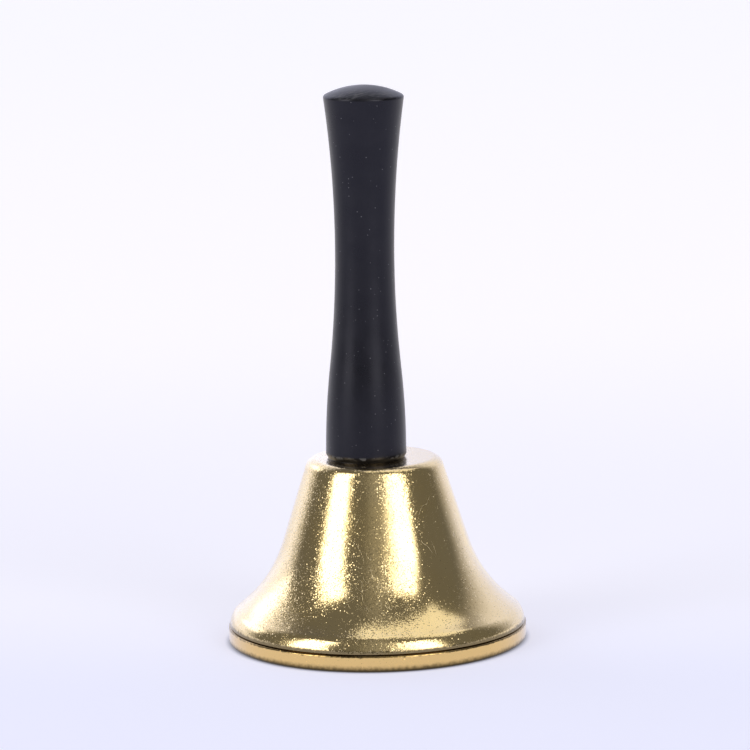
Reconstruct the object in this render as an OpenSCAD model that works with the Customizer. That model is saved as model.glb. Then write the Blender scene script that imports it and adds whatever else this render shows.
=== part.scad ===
// Service bell: a hand bell with a turned handle, a pressed metal cup and a clapper on a link.
// Millimetres, +Z up. The origin is the centre of the rim, on the plane that the bell stands on.

/* [Bell cup] */
// Diameter across the rim
mouth_d = 80; // [76:1:90]
// Height of the cup, from the rim to the top of the crown
cup_h = 49.6; // [48:0.1:56]
// Thickness of the metal sheet
sheet_t = 1.1; // [0.8:0.1:1.3]
// Angle between the straight wall and the vertical
wall_angle = 17.7; // [15:0.1:19]
// Angle between the vertical and the flare where it meets the lip
flare_angle = 52.2; // [48:0.1:54]
// Radius of the hollow flare below the wall
flare_r = 36.8; // [32:0.1:38]
// Radius of the rounded lip above the rim band
lip_r = 5.3; // [5:0.1:6.5]
// Radius of the shoulder round the crown
shoulder_r = 2.9; // [1.6:0.1:3.2]

/* [Rim band] */
// Height of the band round the rim
band_h = 4.8; // [4:0.1:5.5]
// How far the band stands out from the lip
band_step = 0.4; // [0.3:0.1:0.8]
// Thickness of the band
band_t = 1.7; // [1.5:0.1:2]
// Width of the groove between the lip and the band
groove_w = 0.4; // [0.3:0.1:0.6]
// Depth of the groove, measured from the lip
groove_d = 0.35; // [0.2:0.05:0.5]
// Radius of the band's outer bottom edge
rim_r = 1; // [0.4:0.1:1.1]

/* [Handle] */
// How far the handle's axis stands to the left of the cup's, as its bore is drilled off centre
handle_offset = 2.1; // [0:0.1:2.5]
// How many degrees the handle leans to the right, as its foot is cut a little out of square
handle_lean = 0.7; // [0:0.1:1]
// Radius of the handle's foot
foot_r = 10.75; // [10:0.05:12]
// Height of the straight foot, with its chamfer
foot_h = 1.8; // [1.6:0.1:5]
// Height of the chamfer round the foot
chamfer_h = 1.1; // [0.5:0.1:1.4]
// Width of the chamfer round the foot
chamfer_w = 0.6; // [0.3:0.1:1]
// Radius of the waist
waist_r = 7.9; // [7:0.1:9]
// Height of the waist above the crown
waist_h = 55.6; // [50:0.1:60]
// Radius of the long hollow curve of the grip
grip_r = 298; // [280:1:330]
// Height of the top edge above the crown
grip_h = 96.2; // [90:0.1:100]
// Radius of the rounded top edge
top_edge_r = 0.9; // [0.6:0.1:1.5]
// Steepness of the crown of the domed top at its edge, measured on the surface normal
dome_angle = 63; // [58:1:70]

/* [Fastening] */
// Diameter of the eye bolt's thread
bolt_d = 4; // [3.5:0.1:4.2]
// Radial play round the bolt in its nut and insert
thread_play = 0.05; // [0.03:0.01:0.08]
// Diameter of the insert in the handle
insert_d = 7; // [6.6:0.1:8]
// Length of the insert
insert_l = 12; // [8:0.5:16]
// Diameter of the flat washer
washer_d = 12; // [10:0.5:14]
// Thickness of the flat washer
washer_t = 0.8; // [0.6:0.1:1]
// Thickness of the spring washer
lock_t = 1; // [0.8:0.1:1.2]
// Outer diameter of the spring washer
lock_d = 7.2; // [7:0.1:8]
// Width of the nut across its flats
nut_af = 7; // [6.8:0.1:8]
// Height of the nut
nut_h = 2.2; // [2:0.1:2.4]

/* [Eye and link] */
// Thickness of the bolt's eye
eye_wire_d = 2; // [1.8:0.1:2.1]
// Radius of the eye, to the middle of its wire
eye_r = 3.1; // [3:0.1:3.3]
// Thickness of the link's wire
link_wire_d = 1.2; // [1:0.1:1.3]
// Radius of the link, to the middle of its wire
link_r = 3.1; // [3.1:0.1:3.3]
// Gap between the link and the bolt's eye
link_gap = 0.25; // [0.2:0.05:0.3]
// Width of the closed joint in the link
link_split = 0.12; // [0.1:0.01:0.2]

/* [Clapper] */
// Thickness of the clapper's rod
rod_d = 2; // [1.6:0.1:2.1]
// Radius of the rod's eye, to the middle of its wire
rod_eye_r = 2.3; // [2.3:0.1:2.5]
// Gap between the rod's eye and the link
rod_gap = 0.3; // [0.2:0.05:0.35]
// Diameter of the clapper ball
ball_d = 16; // [14:0.5:17]
// Height of the middle of the ball above the rim plane
ball_z = 12; // [11.5:0.1:13]
// Diameter of the flats where the ball meets its nut and its collar
ball_flat_d = 6; // [5.8:0.1:7]
// Width of the clapper's nut across its flats
rod_nut_af = 4.6; // [4:0.1:5]
// Height of the clapper's nut
rod_nut_h = 1.8; // [1.5:0.1:2]
// Length of rod that stands out under the nut
rod_end = 0.6; // [0.3:0.1:0.8]

/* [Hidden] */

gold = "goldenrod";
black = "#26262b";
steel = "silver";
brass = "darkgoldenrod";
$fn = 96;

// Cup outline: the lip, the flare, the wall and the shoulder meet as tangents.
mouth_r = mouth_d / 2;
lip_c = [mouth_r - band_step - lip_r, band_h];
flare_c = lip_c + (lip_r + flare_r) * [cos(flare_angle), sin(flare_angle)];
wall_foot = flare_c - flare_r * [cos(wall_angle), sin(wall_angle)];
shoulder_z = cup_h - shoulder_r;
shoulder_x = wall_foot[0] - (shoulder_z - wall_foot[1]) * tan(wall_angle) - shoulder_r / cos(wall_angle);
shoulder_c = [shoulder_x, shoulder_z];
inner_edge_r = 0.3;
bolt_hole_r = bolt_d / 2 + 0.2;

// Handle outline: a short rise out of the foot, then the long hollow curve, then the domed top.
swell_z = cup_h + foot_h;
waist_z = cup_h + waist_h;
rise_angle = 2 * atan((foot_r - waist_r) / (waist_z - swell_z));
rise_r = (waist_z - swell_z) / sin(rise_angle) - grip_r;
spread_angle = asin((cup_h + grip_h - waist_z) / grip_r);
grip_c = [waist_r + grip_r, waist_z];
top_edge_c = grip_c - (grip_r + top_edge_r) * [cos(spread_angle), -sin(spread_angle)];
dome_c = [0, top_edge_c[1] - top_edge_c[0] * tan(dome_angle)];
dome_r = top_edge_c[0] / cos(dome_angle) + top_edge_r;
insert_play = 0.02;
insert_hole_h = insert_l + 0.5;
pilot_h = insert_l + 4;

// Heights of the fastening stack under the crown.
bolt_r = bolt_d / 2 - thread_play;
washer_z = cup_h - sheet_t - washer_t;
lock_z = washer_z - lock_t;
nut_z = lock_z - nut_h;
bolt_top_z = cup_h + insert_l - 1;

// Heights of the eye, the link and the clapper, hung one in the other.
eye_wire_r = eye_wire_d / 2;
link_wire_r = link_wire_d / 2;
rod_r = rod_d / 2;
eye_z = nut_z - 0.3 - eye_r - eye_wire_r;
link_z = eye_z - eye_r + eye_wire_r + link_gap + link_wire_r - link_r;
pivot_z = link_z - link_r;
rod_eye_z = pivot_z + link_wire_r + rod_gap + rod_r - rod_eye_r;
ball_r = ball_d / 2;
ball_flat_h = sqrt(ball_r * ball_r - ball_flat_d * ball_flat_d / 4);
collar_h = 1.2;
rod_nut_z = ball_z - ball_flat_h - rod_nut_h;

// Points along an arc about c, from angle a0 to angle a1 in n steps.
function arc(c, r, a0, a1, n) =
    [for (i = [0:n]) let (a = a0 + (a1 - a0) * i / n) c + r * [cos(a), sin(a)]];

function backwards(points) = [for (i = [len(points) - 1:-1:0]) points[i]];

// Outline of the cup from the crown to the lip, moved into the metal by depth k.
function cup_outline(k) = concat(
    arc(shoulder_c, shoulder_r - k, 90, wall_angle, 10),
    arc(flare_c, -flare_r - k, wall_angle, flare_angle, 24),
    arc(lip_c, lip_r - k, flare_angle, 0, 12)
);

// Outline of the rim band, from the groove down and round to the inside.
band_edge_r = groove_w;
band_outline = concat(
    [[lip_c[0] + lip_r - groove_d, band_h - groove_w / 2]],
    arc([mouth_r - band_edge_r, band_h - groove_w - band_edge_r], band_edge_r, 90, 0, 5),
    arc([mouth_r - rim_r, rim_r], rim_r, 0, -90, 8),
    arc([mouth_r - band_t + inner_edge_r, inner_edge_r], inner_edge_r, -90, -180, 4)
);

handle_outline = concat(
    [[foot_r - chamfer_w, cup_h], [foot_r, cup_h + chamfer_h]],
    arc([foot_r - rise_r, swell_z], rise_r, 0, rise_angle, 10),
    arc(grip_c, -grip_r, rise_angle, -spread_angle, 40),
    arc(top_edge_c, top_edge_r, -spread_angle, dome_angle, 8),
    arc(dome_c, dome_r, dome_angle, 90, 8)
);

// A closed wire ring about the X axis.
module wire_ring(r, wire_r) {
    rotate([0, 90, 0]) rotate_extrude() translate([r, 0]) circle(r = wire_r, $fn = 48);
}

// A hexagonal nut with chamfered corners, standing on z = 0.
module hex_nut(af, h, hole_r) {
    corner_r = af / sqrt(3);
    difference() {
        intersection() {
            cylinder(r = corner_r, h = h, $fn = 6);
            rotate_extrude() polygon(nut_outline(af / 2, corner_r, h));
        }
        translate([0, 0, -1]) cylinder(r = hole_r, h = h + 2);
    }
}

// Half section that cuts a nut's corners back at 30 degrees.
function nut_outline(flat_r, corner_r, h) =
    let (cut = (corner_r - flat_r) * tan(30), out_r = corner_r + 0.1)
    [[0, 0], [flat_r, 0], [out_r, cut + 0.06], [out_r, h - cut - 0.06], [flat_r, h], [0, h]];

// The handle leans about its foot, and the crown cuts the foot flat. Its bore stays on the cup's axis.
module handle() {
    foot_cut = 0.5;
    stub = [[0, -foot_cut], [foot_r - chamfer_w, -foot_cut]];
    outline = concat(stub, [for (p = handle_outline) p - [0, cup_h]]);
    color(black) translate([0, 0, cup_h]) difference() {
        translate([-handle_offset, 0, 0]) rotate([0, handle_lean, 0]) rotate_extrude() polygon(outline);
        translate([0, 0, -2]) cylinder(r = foot_r + handle_offset + 1, h = 2);
        translate([0, 0, -1]) cylinder(d = insert_d, h = insert_hole_h + 1);
        cylinder(r = bolt_r + 0.3, h = pilot_h);
    }
}

// Turned insert with two collars that grip the wood.
module threaded_insert() {
    r = insert_d / 2 - insert_play;
    waist = r - 0.5;
    color(brass) translate([0, 0, cup_h]) difference() {
        rotate_extrude() polygon([
            [0, 0], [r, 0], [r, 3], [waist, 3.5], [waist, 5.5], [r, 6], [r, 9], [waist, 9.5],
            [waist, insert_l], [0, insert_l]
        ]);
        translate([0, 0, -1]) cylinder(d = bolt_d, h = insert_l + 2);
    }
}

module bell_cup() {
    color(gold) rotate_extrude($fn = 192) polygon(concat(
        [[bolt_hole_r, cup_h]], cup_outline(0), band_outline,
        backwards(cup_outline(sheet_t)), [[bolt_hole_r, cup_h - sheet_t]]
    ));
}

module crown_washer() {
    color(steel) translate([0, 0, washer_z]) difference() {
        cylinder(d = washer_d, h = washer_t);
        translate([0, 0, -1]) cylinder(r = bolt_hole_r, h = washer_t + 2);
    }
}

// Split ring that keeps the nut tight.
module spring_washer() {
    slot = 0.8;
    color(steel) translate([0, 0, lock_z]) difference() {
        cylinder(d = lock_d, h = lock_t);
        translate([0, 0, -1]) cylinder(r = bolt_hole_r, h = lock_t + 2);
        translate([0, 0, lock_t / 2]) rotate([30, 0, 0]) translate([0, -slot / 2, -lock_t * 2])
            cube([lock_d, slot, lock_t * 4]);
    }
}

module crown_nut() {
    color(steel) translate([0, 0, nut_z]) hex_nut(nut_af, nut_h, bolt_d / 2);
}

module eye_bolt() {
    shank_z = eye_z + eye_r + eye_wire_r - 0.8;
    color(steel) {
        translate([0, 0, eye_z]) wire_ring(eye_r, eye_wire_r);
        translate([0, 0, shank_z]) cylinder(r = bolt_r, h = bolt_top_z - shank_z);
    }
}

// Bent link, closed at its side with a narrow butt joint.
module link_ring() {
    color(steel) translate([0, 0, link_z]) difference() {
        rotate([0, 0, 90]) wire_ring(link_r, link_wire_r);
        translate([link_r - link_wire_d, -link_wire_d, -link_split / 2])
            cube([link_wire_d * 2, link_wire_d * 2, link_split]);
    }
}

// Rod with an eye at its top and a collar above the ball.
module clapper_rod() {
    rod_foot_z = rod_nut_z - rod_end;
    collar_z = ball_z + ball_flat_h;
    color(steel) {
        translate([0, 0, rod_eye_z]) wire_ring(rod_eye_r, rod_r);
        translate([0, 0, rod_foot_z]) cylinder(r = rod_r, h = rod_eye_z - rod_eye_r - rod_foot_z);
        translate([0, 0, collar_z]) cylinder(r = rod_r + 0.9, h = collar_h);
    }
}

module clapper_ball() {
    color(gold) translate([0, 0, ball_z]) difference() {
        intersection() {
            sphere(r = ball_r);
            cylinder(r = ball_r, h = ball_flat_h * 2, center = true);
        }
        cylinder(r = rod_r + thread_play, h = ball_d, center = true);
    }
}

module clapper_nut() {
    color(steel) translate([0, 0, rod_nut_z]) hex_nut(rod_nut_af, rod_nut_h, rod_r + thread_play);
}

handle();
threaded_insert();
bell_cup();
crown_washer();
spring_washer();
crown_nut();
eye_bolt();
link_ring();
clapper_rod();
clapper_ball();
clapper_nut();
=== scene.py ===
"""Service bell: its looks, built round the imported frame. Metres, +Z up, the rim stands on z = 0."""

import math

import bmesh
import bpy
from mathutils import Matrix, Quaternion, Vector, noise


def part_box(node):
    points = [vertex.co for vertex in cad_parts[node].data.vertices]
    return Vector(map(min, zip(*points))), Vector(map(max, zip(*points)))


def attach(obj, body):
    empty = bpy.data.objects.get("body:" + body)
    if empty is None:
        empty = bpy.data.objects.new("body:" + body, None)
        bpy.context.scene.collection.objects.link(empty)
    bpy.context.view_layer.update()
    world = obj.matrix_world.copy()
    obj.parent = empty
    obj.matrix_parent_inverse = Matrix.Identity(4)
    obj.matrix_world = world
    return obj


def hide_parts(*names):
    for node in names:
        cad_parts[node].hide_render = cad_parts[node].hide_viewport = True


MM = 0.001

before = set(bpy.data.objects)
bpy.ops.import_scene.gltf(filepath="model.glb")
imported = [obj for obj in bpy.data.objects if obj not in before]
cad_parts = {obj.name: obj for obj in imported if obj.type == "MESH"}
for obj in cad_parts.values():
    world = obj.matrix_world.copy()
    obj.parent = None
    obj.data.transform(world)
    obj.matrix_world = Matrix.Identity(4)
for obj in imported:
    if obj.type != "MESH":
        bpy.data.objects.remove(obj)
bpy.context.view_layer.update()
rim_low, rim_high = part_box("bell_cup")
handle_low, handle_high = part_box("handle")

# Driving sizes of the turned outlines, in metres and degrees. Heights and widths come from the frame.
MOUTH_R = (rim_high.y - rim_low.y) / 2
CUP_H = rim_high.z
SHEET_T = 1.1 * MM
WALL_ANGLE = 17.7
FLARE_ANGLE = 52.2
FLARE_R = 36.8 * MM
LIP_R = 5.3 * MM
SHOULDER_R = 2.9 * MM
BAND_H = 4.8 * MM
BAND_STEP = 0.4 * MM
BAND_T = 1.7 * MM
BAND_EDGE_R = 0.4 * MM
GROOVE_W = 0.4 * MM
GROOVE_D = 0.35 * MM
RIM_R = 1.0 * MM
INNER_EDGE_R = 0.3 * MM
CROWN_HOLE_R = 2.2 * MM

HANDLE_OFFSET = 2.1 * MM
HANDLE_LEAN = 0.7
FOOT_R = (handle_high.y - handle_low.y) / 2
FOOT_H = 1.8 * MM
CHAMFER_H = 1.1 * MM
CHAMFER_W = 0.6 * MM
WAIST_R = 7.9 * MM
WAIST_H = 55.6 * MM
GRIP_R = 298 * MM
GRIP_H = 96.2 * MM
TOP_EDGE_R = 0.9 * MM
DOME_ANGLE = 63.0
HANDLE_BORE_R = 3.5 * MM
HANDLE_BORE_H = 12.5 * MM
FOOT_CUT = 0.5 * MM

# How uneven the pressed sheet and the turned wood are.
SHEET_WAVE = 0.02 * MM
WOOD_WAVE = 0.03 * MM

# Where the gold grows calmer, where shade is painted dark on the gold in the groove and along the rim's
# foot, and where the lacquer is worn, with painted sheen on the handle's top. Heights are from the table.
CALM_SIDE = (6 * MM, 14 * MM)
# Painted shade: dark on the rim's foot and in the groove above the rim band, with a ragged edge.
SHADE_ON_FOOT = (0.5 * MM, 2.1 * MM)
SHADE_IN_GROOVE = (BAND_H - 1.0 * MM, BAND_H - 0.5 * MM), (BAND_H + 0.5 * MM, BAND_H + 1.2 * MM)
SHADE_RAGGED = 1.0 * MM
WORN_RING = (CUP_H + 0.7 * MM, CUP_H + 1.0 * MM), (CUP_H + 1.3 * MM, CUP_H + 1.8 * MM)
# Pale streaks on the handle's top: wear, and painted sheen over the whole top.
WORN_AND_SHEEN_TOP = (handle_high.z - 3.2 * MM, handle_high.z - 2.0 * MM)

# A spot low on the front of the cup where something has rubbed it.
RUBBED_SPOT = (1.5 * MM, -27 * MM, 18 * MM)
RUBBED_EDGE = (5 * MM, 10 * MM)

# Colours, as linear RGBA.
GOLD = (0.90, 0.70, 0.34, 1)
GOLD_DULL = (0.85, 0.645, 0.285, 1)
GOLD_PIT = (0.16, 0.12, 0.05, 1)
GOLD_SCRATCH = (0.96, 0.84, 0.58, 1)
GOLD_RIM = (0.84, 0.56, 0.18, 1)
# Painted shade on the gold, in the groove and along the rim's foot.
SHADE_ON_GOLD = (0.09, 0.065, 0.025, 1)
LACQUER = (0.0035, 0.0034, 0.0048, 1)
LACQUER_PALE = (0.006, 0.0058, 0.0078, 1)
LACQUER_DUST = (0.16, 0.16, 0.17, 1)
# Pale worn lacquer, also used for painted sheen on the handle's top.
LACQUER_WORN_AND_SHEEN = (0.15, 0.15, 0.155, 1)
ZINC = (0.66, 0.67, 0.70, 1)
ZINC_DULL = (0.52, 0.53, 0.56, 1)
BRASS = (0.78, 0.60, 0.30, 1)
BRASS_DULL = (0.66, 0.47, 0.20, 1)
# The table's tones hold painted light: dim in front, brighter behind the bell, a little dimmer far off.
TABLE_FRONT_LIT = (0.83, 0.84, 1.0, 1)
TABLE_MIDDLE_LIT = (0.90, 0.895, 1.0, 1)
TABLE_BACK_LIT = (0.985, 0.965, 1.0, 1)
TABLE_FAR_LIT = (0.955, 0.95, 1.0, 1)
ROOM_TINT = (1.0, 0.98, 0.95, 1)
WALLS_TINT = (0.84, 0.85, 1.03, 1)
BACKDROP_TINT = (0.93, 0.92, 0.99, 1)

# The table's tone changes by depth and then by distance: painted light, dimmer towards the front. Its
# glow is weak under the bell's mouth: a painted shadow there.
FRONT_TO_MIDDLE = (-0.06, 0.06)
MIDDLE_TO_BACK = (0.12, 0.55)
BACK_TO_FAR = (0.5, 2.0)
MOUTH_SHADE = (MOUTH_R - 1.5 * MM, MOUTH_R + 1.5 * MM)
MOUTH_GLOW = 0.1
TABLE_GLOW = 1.25

# Camera, in metres and degrees, with its lens and sensor in millimetres.
CAMERA_DISTANCE = 1.1326
CAMERA_HEIGHT = 0.271
CAMERA_SIDE = 0.00066
CAMERA_PITCH = 9.983
CAMERA_ROLL = 1.15
LENS_MM = 207.43
SENSOR_MM = 36.0

# Studio round the bell, in degrees: azimuth 0 is towards the camera and 90 is to its right. Each edge
# is a pair of values that the light fades between. The walls are pale and stand behind the bell, and
# the panel overhead is a rectangle of directions (x, y, z). A soft box is its power, then its left,
# right, low and high edge.
ROOM_LEVEL = 0.15
LEFT_WALL_LEVEL = 1.22
LEFT_WALL_EDGE = (-132, -104)
RIGHT_WALL_LEVEL = 0.92
RIGHT_WALL_EDGE = (104, 142)
WALLS_TOP = (35, 58)
PANEL_LEVEL = 0.9
PANEL_X = (-0.17, -0.12), (0.58, 0.64)
PANEL_Y = (-0.2, -0.15), (0.27, 0.34)
PANEL_Z = (0.4, 0.5)
SOFT_BOXES = (
    (3.4, ((-78, -66), (-49, -36), (-2, 8), (47, 53))),
    (3.2, ((6, 35), (46, 57), (-2, 8), (46, 52))),
    (0.16, ((-20, 0), (6, 20), (-5, 10), (60, 90))),
    (1.2, ((-150, -142), (-120, -108), (14, 20), (30, 36))),
)


# ---------------------------------------------------------------- outlines and meshes

def arc(centre, radius, first, last, steps):
    """Points (r, z) along an arc, from angle first to angle last in degrees."""
    points = []
    for i in range(steps + 1):
        a = math.radians(first + (last - first) * i / steps)
        points.append((centre[0] + radius * math.cos(a), centre[1] + radius * math.sin(a)))
    return points


def line(start, end, steps):
    """Points strictly between two ends, so that a long straight stretch has vertices too."""
    return [
        (start[0] + (end[0] - start[0]) * i / steps, start[1] + (end[1] - start[1]) * i / steps)
        for i in range(1, steps)
    ]


def polar(angle):
    """Unit vector (r, z) at an angle in degrees."""
    return math.cos(math.radians(angle)), math.sin(math.radians(angle))


def cup_curve(depth):
    """The cup's outline from crown to lip, moved into the sheet by depth."""
    lip = (MOUTH_R - BAND_STEP - LIP_R, BAND_H)
    out, up = polar(FLARE_ANGLE)
    flare = (lip[0] + (LIP_R + FLARE_R) * out, lip[1] + (LIP_R + FLARE_R) * up)
    out, up = polar(WALL_ANGLE)
    wall_foot = (flare[0] - FLARE_R * out, flare[1] - FLARE_R * up)
    shoulder_z = CUP_H - SHOULDER_R
    lean = math.tan(math.radians(WALL_ANGLE))
    shoulder = (wall_foot[0] - (shoulder_z - wall_foot[1]) * lean - SHOULDER_R / out, shoulder_z)
    top = arc(shoulder, SHOULDER_R - depth, 90, WALL_ANGLE, 12)
    hollow = arc(flare, -FLARE_R - depth, WALL_ANGLE, FLARE_ANGLE, 36)
    bottom = arc(lip, LIP_R - depth, FLARE_ANGLE, 0, 18)
    return top + line(top[-1], hollow[0], 30) + hollow + bottom


def cup_outline():
    """Closed half section of the cup, with its groove and rim band."""
    lip_edge = MOUTH_R - BAND_STEP
    crown_edge = (CROWN_HOLE_R, CUP_H)
    outside = cup_curve(0)
    band_top = BAND_H - GROOVE_W - BAND_EDGE_R
    band = [(lip_edge - GROOVE_D, BAND_H - GROOVE_W / 2)]
    band += arc((MOUTH_R - BAND_EDGE_R, band_top), BAND_EDGE_R, 90, 0, 6)
    band += line(band[-1], (MOUTH_R, RIM_R), 8)
    band += arc((MOUTH_R - RIM_R, RIM_R), RIM_R, 0, -90, 8)
    band += arc((MOUTH_R - BAND_T + INNER_EDGE_R, INNER_EDGE_R), INNER_EDGE_R, -90, -180, 5)
    inside = cup_curve(SHEET_T)[::-1]
    crown_in = (CROWN_HOLE_R, CUP_H - SHEET_T)
    return (
        [crown_edge] + line(crown_edge, outside[0], 14) + outside + band + inside
        + line(inside[-1], crown_in, 14) + [crown_in]
    )


def handle_outline():
    """Half section of the handle, from the mouth of its bore round to the bore's end."""
    swell_z = CUP_H + FOOT_H
    waist_z = CUP_H + WAIST_H
    rise = 2 * math.degrees(math.atan((FOOT_R - WAIST_R) / (waist_z - swell_z)))
    rise_r = (waist_z - swell_z) / polar(rise)[1] - GRIP_R
    spread = math.degrees(math.asin((CUP_H + GRIP_H - waist_z) / GRIP_R))
    grip = (WAIST_R + GRIP_R, waist_z)
    out, up = polar(-spread)
    edge = (grip[0] - (GRIP_R + TOP_EDGE_R) * out, grip[1] - (GRIP_R + TOP_EDGE_R) * up)
    dome_cos = polar(DOME_ANGLE)[0]
    dome_low = (0.0, edge[1] - edge[0] * math.tan(math.radians(DOME_ANGLE)))
    dome_r = edge[0] / dome_cos + TOP_EDGE_R
    foot = (FOOT_R - CHAMFER_W, CUP_H)
    chamfer_top = (FOOT_R, CUP_H + CHAMFER_H)
    skin = (
        [(foot[0], CUP_H - FOOT_CUT), foot] + line(foot, chamfer_top, 4) + [chamfer_top]
        + arc((FOOT_R - rise_r, swell_z), rise_r, 0, rise, 16)
        + arc(grip, -GRIP_R, rise, -spread, 110) + arc(edge, TOP_EDGE_R, -spread, DOME_ANGLE, 10)
        + arc(dome_low, dome_r, DOME_ANGLE, 90, 20)[:-1] + [(0.0, dome_low[1] + dome_r)]
    )
    bore_end = CUP_H + HANDLE_BORE_H
    bore = [(0.0, bore_end), (HANDLE_BORE_R, bore_end), (HANDLE_BORE_R, CUP_H)]
    return bore + skin


def finish_mesh(name, bm, body, material, sharp_angle=40.0):
    """Turns a bmesh into a smooth piece that rides on a body."""
    bmesh.ops.recalc_face_normals(bm, faces=bm.faces)
    mesh = bpy.data.meshes.new(name)
    bm.to_mesh(mesh)
    bm.free()
    mesh.shade_smooth()
    mesh.set_sharp_from_angle(angle=math.radians(sharp_angle))
    piece = bpy.data.objects.new(name, mesh)
    bpy.context.scene.collection.objects.link(piece)
    mesh.materials.append(material)
    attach(piece, body)
    return piece


def without_repeats(outline):
    """Drops each point that repeats the one before it, where two arcs meet."""
    kept = outline[:1]
    for point in outline[1:]:
        if math.dist(point, kept[-1]) > 0.001 * MM:
            kept.append(point)
    return kept


def turned(outline, segments, closed, shape):
    """A solid of revolution from points (r, z). Each of its points is then moved by shape."""
    bm = bmesh.new()
    rings = []
    for r, z in without_repeats(outline):
        ring = []
        for k in range(segments if r else 1):
            a = 2 * math.pi * k / segments
            ring.append(bm.verts.new(shape(Vector((r * math.cos(a), r * math.sin(a), z)), r)))
        rings.append(ring)
    pairs = list(zip(rings, rings[1:]))
    if closed:
        pairs.append((rings[-1], rings[0]))
    for upper, lower in pairs:
        for here in range(segments):
            after = (here + 1) % segments
            picks = (upper, here), (upper, after), (lower, after), (lower, here)
            corners = [ring[i % len(ring)] for ring, i in picks]
            bm.faces.new(list(dict.fromkeys(corners)))
    return bm


# ---------------------------------------------------------------- shader helpers

def add(tree, kind, inputs=None, **settings):
    """Adds a shader node. An input takes a value, or another node's output."""
    made = tree.nodes.new("ShaderNode" + kind)
    for name, value in settings.items():
        setattr(made, name, value)
    for key, value in (inputs or {}).items():
        if isinstance(value, bpy.types.NodeSocket):
            tree.links.new(value, made.inputs[key])
        else:
            made.inputs[key].default_value = value
    return made


def sums(tree, operation, *values):
    """One Math node."""
    return add(tree, "Math", dict(enumerate(values)), operation=operation).outputs[0]


def product(tree, first, second):
    """Two values multiplied."""
    return sums(tree, "MULTIPLY", first, second)


def plus(tree, total, value, weight):
    """A total, and a value added to it with a weight."""
    return sums(tree, "ADD", total, product(tree, value, weight))


def fade(tree, value, low, high, start=0.0, end=1.0):
    """Goes smoothly from start to end as value goes from low to high."""
    inputs = {"Value": value, "From Min": low, "From Max": high, "To Min": start, "To Max": end}
    made = add(tree, "MapRange", inputs, interpolation_type="SMOOTHSTEP")
    return made.outputs["Result"]


def band(tree, value, low, high):
    """1 between two limits and 0 outside. Each limit is a pair that it fades between."""
    return product(tree, fade(tree, value, *low), fade(tree, value, *high, 1.0, 0.0))


def blend(tree, factor, first, second):
    """Mixes two colours."""
    made = add(tree, "Mix", data_type="RGBA")
    sockets = [s for s in made.inputs if s.enabled]
    for socket, value in zip(sockets, (factor, first, second)):
        if isinstance(value, bpy.types.NodeSocket):
            tree.links.new(value, socket)
        else:
            socket.default_value = value
    return [s for s in made.outputs if s.enabled][0]


def grain(tree, where, scale, detail=2.0, rough=0.5):
    """Noise with values near 0.5. The scale is in waves per metre."""
    inputs = {"Vector": where, "Scale": scale, "Detail": detail, "Roughness": rough}
    return add(tree, "TexNoise", inputs).outputs["Fac"]


def stretched(tree, where, turn, scale):
    """Coordinates that stretch a texture along its axes, then turn it by Euler angles in degrees."""
    inputs = {"Vector": where, "Rotation": [math.radians(a) for a in turn], "Scale": scale}
    return add(tree, "Mapping", inputs, vector_type="TEXTURE").outputs["Vector"]


def new_material(name, **uniform):
    """A Principled material. Values that are the same all over are set on its own sockets."""
    material = bpy.data.materials.new(name)
    material.use_nodes = True
    shader = material.node_tree.nodes["Principled BSDF"]
    for key, value in uniform.items():
        shader.inputs[key.replace("_", " ")].default_value = value
    where = add(material.node_tree, "TexCoord").outputs["Object"]
    return material, material.node_tree, shader, where


def hairlines(tree, where, turn, scale, width, amount):
    """Thin, nearly straight scratches: level lines of a long noise, broken up by a second noise."""
    field = grain(tree, stretched(tree, where, turn, (1.0, 1.0, 24.0)), scale, detail=0.0)
    off = sums(tree, "ABSOLUTE", sums(tree, "SUBTRACT", field, 0.5))
    stroke = fade(tree, off, 0.0, width, 1.0, 0.0)
    patches = grain(tree, stretched(tree, where, turn, (1.0, 1.0, 3.0)), scale * 0.45)
    return product(tree, stroke, fade(tree, patches, amount, amount + 0.06))


def facets(tree, where, scale, share, tilt):
    """The surface normal, tilted at random in a share of a Voronoi pattern's cells: a fine sparkle."""
    cells = add(tree, "TexVoronoi", {"Vector": where, "Scale": scale})
    pick = add(tree, "TexWhiteNoise", {"Vector": cells.outputs["Position"]}).outputs["Value"]
    chosen = sums(tree, "LESS_THAN", pick, share)
    amount = product(tree, fade(tree, cells.outputs["Distance"], 0.3, 0.6, tilt, 0.0), chosen)
    lean = add(tree, "VectorMath", {0: cells.outputs["Color"], 1: (0.5, 0.5, 0.5)}, operation="SUBTRACT")
    lean = add(tree, "VectorMath", {0: lean.outputs[0], "Scale": amount}, operation="SCALE")
    upright = add(tree, "NewGeometry").outputs["Normal"]
    tilted = add(tree, "VectorMath", {0: upright, 1: lean.outputs[0]}, operation="ADD")
    return add(tree, "VectorMath", {0: tilted.outputs[0]}, operation="NORMALIZE").outputs[0]


def speckle_pits(tree, where, scale, share):
    """Small round pits in a share of the cells of a Voronoi pattern."""
    cells = add(tree, "TexVoronoi", {"Vector": where, "Scale": scale})
    pick = add(tree, "SeparateColor", {"Color": cells.outputs["Color"]}).outputs["Red"]
    chosen = sums(tree, "LESS_THAN", pick, share)
    return product(tree, fade(tree, cells.outputs["Distance"], 0.1, 0.38, 1.0, 0.0), chosen)


def connect_bump(tree, shader, settings, *sockets):
    """Adds a Bump node and links its normal to the shader's sockets."""
    normal = add(tree, "Bump", settings).outputs["Normal"]
    for name in sockets:
        tree.links.new(normal, shader.inputs[name])


# ---------------------------------------------------------------- materials

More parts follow.
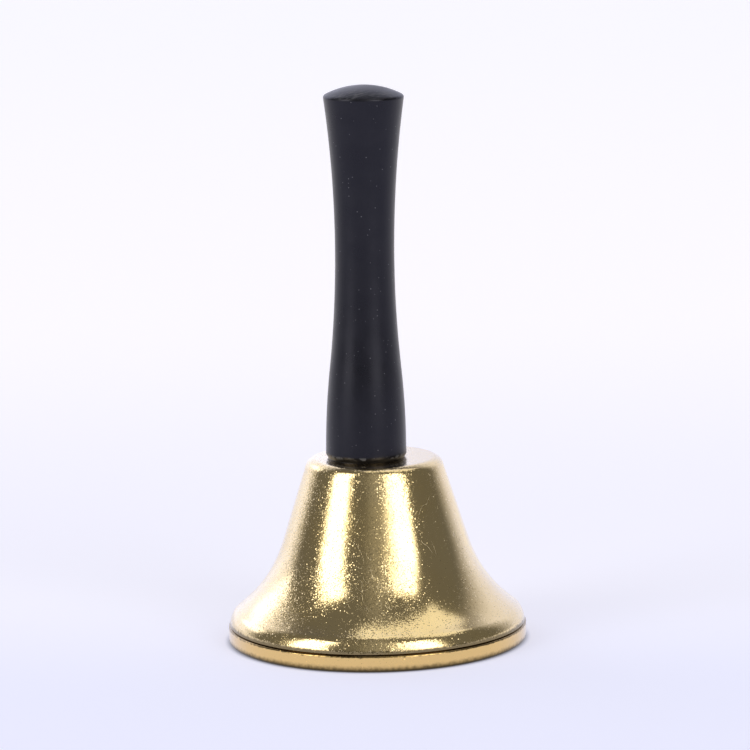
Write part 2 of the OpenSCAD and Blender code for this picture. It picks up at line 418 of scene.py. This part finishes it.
def gold_scratches(tree, where):
    """Two sets of hairlines all over the cup, and a dense one on the rubbed spot."""
    first = hairlines(tree, where, (0, -22, 0), 500, 0.006, 0.6)
    second = hairlines(tree, where, (0, 35, 30), 460, 0.005, 0.63)
    beside = add(tree, "VectorMath", {0: where, 1: RUBBED_SPOT}, operation="DISTANCE").outputs["Value"]
    rubbed = hairlines(tree, where, (0, -24, 0), 1000, 0.03, 0.42)
    rubbed = product(tree, rubbed, fade(tree, beside, *RUBBED_EDGE, 1.0, 0.0))
    return sums(tree, "MAXIMUM", sums(tree, "MAXIMUM", first, second), rubbed)


def gold_painted_shade(tree, where, height):
    """Ragged painted shade along the rim's foot and in the groove above the rim band."""
    ragged = sums(tree, "SUBTRACT", grain(tree, where, 900), 0.5)
    level = plus(tree, height, ragged, SHADE_RAGGED)
    foot = fade(tree, level, *SHADE_ON_FOOT, 1.0, 0.0)
    groove = band(tree, level, *SHADE_IN_GROOVE)
    return sums(tree, "MAXIMUM", product(tree, foot, 0.95), product(tree, groove, 0.8))


def gold_tint(tree, height, patches, pits, scratches, painted_shade):
    """Deep gold, duller in patches and pits, richer on the rim band and darkened by painted shade."""
    tint = blend(tree, fade(tree, patches, 0.35, 0.68), GOLD, GOLD_DULL)
    tint = blend(tree, product(tree, pits, 0.75), tint, GOLD_PIT)
    tint = blend(tree, product(tree, scratches, 0.4), tint, GOLD_SCRATCH)
    tint = blend(tree, fade(tree, height, BAND_H - GROOVE_W, BAND_H, 1.0, 0.0), tint, GOLD_RIM)
    return blend(tree, painted_shade, tint, SHADE_ON_GOLD)


def gold_plating():
    """Bright gold plating on a pressed sheet: grain, sparkle, pits, dull patches, hairlines, painted
    shade.
    """
    material, tree, shader, where = new_material(
        "gold_plating", Metallic=1.0, Coat_Roughness=0.07, Coat_IOR=1.6
    )
    place = add(tree, "SeparateXYZ", {"Vector": where})
    height = place.outputs["Z"]
    patches = grain(tree, where, 55, detail=4.0, rough=0.6)
    crowd = grain(tree, where, 70, detail=3.0, rough=0.6)
    calm = fade(tree, place.outputs["X"], *CALM_SIDE, 1.0, 0.35)
    pits = product(tree, fade(tree, crowd, 0.38, 0.6, 0.12, 0.5), calm)
    pits = speckle_pits(tree, where, 2300, pits)
    scratches = gold_scratches(tree, where)
    # Painted shade in the groove and on the rim's foot darkens the tint and thins the coat.
    painted_shade = gold_painted_shade(tree, where, height)
    tint = gold_tint(tree, height, patches, pits, scratches, painted_shade)
    tree.links.new(tint, shader.inputs["Base Color"])
    tree.links.new(fade(tree, painted_shade, 0.0, 1.0, 1.0, 0.2), shader.inputs["Coat Weight"])
    rough = plus(tree, fade(tree, patches, 0.3, 0.7, 0.085, 0.16), pits, 0.1)
    tree.links.new(plus(tree, rough, scratches, 0.3), shader.inputs["Roughness"])
    fine = grain(tree, where, 2600, detail=1.0)
    coarse = grain(tree, where, 1000, detail=2.0, rough=0.7)
    busy = product(tree, fade(tree, crowd, 0.36, 0.62, 0.4, 1.0), calm)
    relief = product(tree, plus(tree, coarse, fine, 0.6), busy)
    relief = plus(tree, plus(tree, relief, pits, -0.4), scratches, -0.15)
    share = product(tree, fade(tree, crowd, 0.38, 0.6, 0.3, 0.95), calm)
    share = product(tree, share, fade(tree, height, BAND_H - MM, BAND_H, 0.1, 1.0))
    sparkle = facets(tree, where, 2900, share, 0.3)
    settings = {"Height": relief, "Distance": 0.04 * MM, "Normal": sparkle}
    connect_bump(tree, shader, settings, "Normal", "Coat Normal")
    return material


def lacquer_wear_and_sheen(tree, where, height):
    """A ragged ring just above the foot where the paint is thin, and pale streaks on the top that are
    wear and painted sheen.
    """
    ring = product(tree, band(tree, height, *WORN_RING), fade(tree, grain(tree, where, 700), 0.5, 0.6))
    along = stretched(tree, where, (0, 0, 25), (5.0, 1.0, 1.0))
    streaks = grain(tree, along, 1300, detail=3.0, rough=0.7)
    top = product(tree, fade(tree, height, *WORN_AND_SHEEN_TOP), fade(tree, streaks, 0.47, 0.66, 0.1, 0.9))
    return sums(tree, "MAXIMUM", ring, top)


def black_lacquer():
    """Satin black lacquer over turned wood, with open pores, dust specks, worn places and painted sheen
    on the top.
    """
    material, tree, shader, where = new_material(
        "black_lacquer", Specular_IOR_Level=0.34, Specular_Tint=(0.84, 0.84, 1.0, 1.0)
    )
    height = add(tree, "SeparateXYZ", {"Vector": where}).outputs["Z"]
    along = stretched(tree, where, (0, 0, 0), (1.0, 1.0, 8.0))
    pores = grain(tree, along, 1500, detail=3.0, rough=0.65)
    cloud = grain(tree, where, 160, detail=4.0, rough=0.6)
    specks = speckle_pits(tree, where, 1900, 0.03)
    # Worn paint on the ring, and on the top worn streaks with painted sheen.
    worn_and_sheen = lacquer_wear_and_sheen(tree, where, height)
    paint = blend(tree, fade(tree, cloud, 0.35, 0.7), LACQUER, LACQUER_PALE)
    paint = blend(tree, product(tree, specks, 0.75), paint, LACQUER_DUST)
    paint = blend(tree, product(tree, worn_and_sheen, 0.6), paint, LACQUER_WORN_AND_SHEEN)
    tree.links.new(paint, shader.inputs["Base Color"])
    rough = plus(tree, fade(tree, cloud, 0.3, 0.7, 0.27, 0.34), worn_and_sheen, 0.18)
    tree.links.new(rough, shader.inputs["Roughness"])
    relief = plus(tree, plus(tree, pores, cloud, 0.6), specks, 0.5)
    connect_bump(tree, shader, {"Height": relief, "Strength": 0.3, "Distance": 0.05 * MM}, "Normal")
    return material


def plain_metal(name, light, dark, rough_low, rough_high, across):
    """Plated or turned metal with tool marks, used for the small hidden pieces."""
    material, tree, shader, where = new_material(name, Metallic=1.0)
    cloud = grain(tree, where, 300, detail=4.0, rough=0.6)
    marks = grain(tree, stretched(tree, where, (0, 0, 0), across), 2600)
    pits = speckle_pits(tree, where, 1800, 0.1)
    tint = blend(tree, fade(tree, cloud, 0.35, 0.68), light, dark)
    tint = blend(tree, product(tree, pits, 0.5), tint, [c * 0.4 for c in dark[:3]] + [1])
    tree.links.new(tint, shader.inputs["Base Color"])
    tree.links.new(fade(tree, cloud, 0.3, 0.7, rough_low, rough_high), shader.inputs["Roughness"])
    relief = plus(tree, marks, pits, -0.6)
    connect_bump(tree, shader, {"Height": relief, "Strength": 0.3, "Distance": 0.04 * MM}, "Normal")
    return material


# ---------------------------------------------------------------- pieces

def pressed_sheet(point, radius):
    """The slight unevenness of a pressed and polished sheet, away from its rim and crown."""
    wave = noise.noise(point * 70.0) * 0.5 + noise.noise(point * 210.0 + Vector((3.0, 1.0, 2.0))) * 0.16
    free = min(1.0, max(0.0, (point.z - 1.5 * MM) / (6 * MM)))
    crown = 1.0 if point.z < CUP_H - 3 * MM else 0.0
    inward = SHEET_WAVE * (wave + 0.7) * free * crown
    return Vector((point.x * (1 - inward / radius), point.y * (1 - inward / radius), point.z))


def turned_wood(point, radius):
    """Faint flats left by sanding, then the handle's lean about its foot, which the crown cuts flat."""
    if radius <= HANDLE_BORE_R and point.z < CUP_H + HANDLE_BORE_H + 0.5 * MM:
        return point
    wave = noise.noise(Vector((point.x * 90.0, point.y * 90.0, point.z * 30.0)))
    inward = WOOD_WAVE * (wave + 1.0) if point.z > CUP_H + 2 * MM else 0.0
    keep = 1 - inward / max(radius, MM)
    along, across = polar(HANDLE_LEAN)
    x, z = point.x * keep, point.z - CUP_H
    leant_x = x * along + z * across - HANDLE_OFFSET
    leant_z = z * along - x * across + CUP_H
    return Vector((leant_x, point.y * keep, max(leant_z, CUP_H)))


def make_cup(material):
    """The cup with its fine curves, in place of the CAD cup."""
    bm = turned(cup_outline(), 384, True, pressed_sheet)
    cup = finish_mesh("cup_shell", bm, "bell", material)
    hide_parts("bell_cup")


def make_handle(material):
    """The leaning handle with its bore, in place of the CAD handle."""
    bm = turned(handle_outline(), 192, False, turned_wood)
    grip = finish_mesh("turned_handle", bm, "bell", material, 30.0)
    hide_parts("handle")


def paint_nodes(material, *names):
    """Gives CAD nodes a better material."""
    for name in names:
        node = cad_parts[name]
        node.data.materials.clear()
        node.data.materials.append(material)


# ---------------------------------------------------------------- floor, light and camera

def glowing_table():
    """A cool table top that glows, with painted light paler further back and a painted shadow under the
    bell's mouth, where it barely glows.
    """
    material = bpy.data.materials.new("glowing_table")
    material.use_nodes = True
    tree = material.node_tree
    tree.nodes.clear()
    where = add(tree, "TexCoord").outputs["Object"]
    away = add(tree, "VectorMath", {0: where}, operation="LENGTH").outputs["Value"]
    depth = add(tree, "SeparateXYZ", {"Vector": where}).outputs["Y"]
    # Painted light: the tone is darker in front and paler further back.
    lit_tone = blend(tree, fade(tree, depth, *FRONT_TO_MIDDLE), TABLE_FRONT_LIT, TABLE_MIDDLE_LIT)
    lit_tone = blend(tree, fade(tree, depth, *MIDDLE_TO_BACK), lit_tone, TABLE_BACK_LIT)
    lit_tone = blend(tree, fade(tree, away, *BACK_TO_FAR), lit_tone, TABLE_FAR_LIT)
    # Painted shadow: the glow is weak under the bell's mouth.
    strength = fade(tree, away, *MOUTH_SHADE, MOUTH_GLOW, TABLE_GLOW)
    glow = add(tree, "Emission", {"Color": lit_tone, "Strength": strength})
    cloth = add(tree, "BsdfDiffuse", {"Color": lit_tone})
    mixed = add(tree, "MixShader", {0: 0.5, 1: cloth.outputs[0], 2: glow.outputs[0]})
    out = add(tree, "OutputMaterial")
    tree.links.new(mixed.outputs[0], out.inputs["Surface"])
    return material


def make_floor():
    """A wide flat floor at z = 0, whose glow keeps shadows faint."""
    size = 30.0
    mesh = bpy.data.meshes.new("floor")
    corners = [(-size, -size, 0), (size, -size, 0), (size, size, 0), (-size, size, 0)]
    mesh.from_pydata(corners, [], [(0, 1, 2, 3)])
    floor = bpy.data.objects.new("floor", mesh)
    bpy.context.scene.collection.objects.link(floor)
    mesh.materials.append(glowing_table())


def window(tree, azimuth, elevation, left, right, low, high):
    """1 inside a window of directions and 0 outside, with soft edges."""
    return product(tree, band(tree, azimuth, left, right), band(tree, elevation, low, high))


def studio_light(tree):
    """The studio's brightness and tint in every direction."""
    parts = add(tree, "SeparateXYZ", {"Vector": add(tree, "TexCoord").outputs["Generated"]})
    x, y, z = (parts.outputs[i] for i in range(3))
    azimuth = sums(tree, "DEGREES", sums(tree, "ARCTAN2", x, product(tree, y, -1.0)))
    elevation = sums(tree, "DEGREES", sums(tree, "ARCSINE", z))
    left = fade(tree, azimuth, *LEFT_WALL_EDGE, LEFT_WALL_LEVEL, 0.0)
    right = fade(tree, azimuth, *RIGHT_WALL_EDGE, 0.0, RIGHT_WALL_LEVEL)
    walls = product(tree, sums(tree, "MAXIMUM", left, right), fade(tree, elevation, *WALLS_TOP, 1.0, 0.0))
    panel = product(tree, band(tree, x, *PANEL_X), fade(tree, z, *PANEL_Z, 0.0, PANEL_LEVEL))
    panel = product(tree, panel, band(tree, y, *PANEL_Y))
    level = sums(tree, "ADD", sums(tree, "MAXIMUM", walls, panel), ROOM_LEVEL)
    for power, edges in SOFT_BOXES:
        level = plus(tree, level, window(tree, azimuth, elevation, *edges), power)
    spread = sums(tree, "ABSOLUTE", azimuth)
    return level, blend(tree, fade(tree, spread, 95.0, 130.0), ROOM_TINT, WALLS_TINT)


def make_studio():
    """A pale backdrop for the camera, and for all else a dim room with walls, panel and soft boxes."""
    world = bpy.data.worlds.new("studio")
    bpy.context.scene.world = world
    world.use_nodes = True
    tree = world.node_tree
    tree.nodes.clear()
    level, tint = studio_light(tree)
    studio = add(tree, "Background", {"Color": tint, "Strength": level})
    backdrop = add(tree, "Background", {"Color": BACKDROP_TINT, "Strength": 1.0})
    seen = add(tree, "LightPath").outputs["Is Camera Ray"]
    mixed = add(tree, "MixShader", {0: seen, 1: studio.outputs[0], 2: backdrop.outputs[0]})
    out = add(tree, "OutputWorld")
    tree.links.new(mixed.outputs[0], out.inputs["Surface"])


def make_camera():
    """A long lens a little above the bell, looking slightly down, with a slight roll."""
    data = bpy.data.cameras.new("camera")
    data.lens = LENS_MM
    data.sensor_width = SENSOR_MM
    data.clip_start = 0.01
    camera = bpy.data.objects.new("camera", data)
    bpy.context.scene.collection.objects.link(camera)
    out, down = polar(CAMERA_PITCH)
    ahead = Vector((0.0, out, -down))
    roll = Quaternion(ahead, math.radians(CAMERA_ROLL))
    camera.location = (CAMERA_SIDE, -CAMERA_DISTANCE, CAMERA_HEIGHT)
    camera.rotation_mode = "QUATERNION"
    camera.rotation_quaternion = roll @ ahead.to_track_quat("-Z", "Y")
    bpy.context.scene.camera = camera


make_floor()
make_studio()
make_camera()
make_cup(gold_plating())
make_handle(black_lacquer())
zinc = plain_metal("zinc_plate", ZINC, ZINC_DULL, 0.18, 0.34, (1, 1, 5))
brass = plain_metal("turned_brass", BRASS, BRASS_DULL, 0.14, 0.28, (5, 5, 1))
paint_nodes(zinc, "crown_washer", "spring_washer", "crown_nut", "eye_bolt")
paint_nodes(zinc, "link_ring", "clapper_rod", "clapper_nut")
paint_nodes(brass, "threaded_insert", "clapper_ball")

bpy.context.scene.view_settings.view_transform = "Standard"
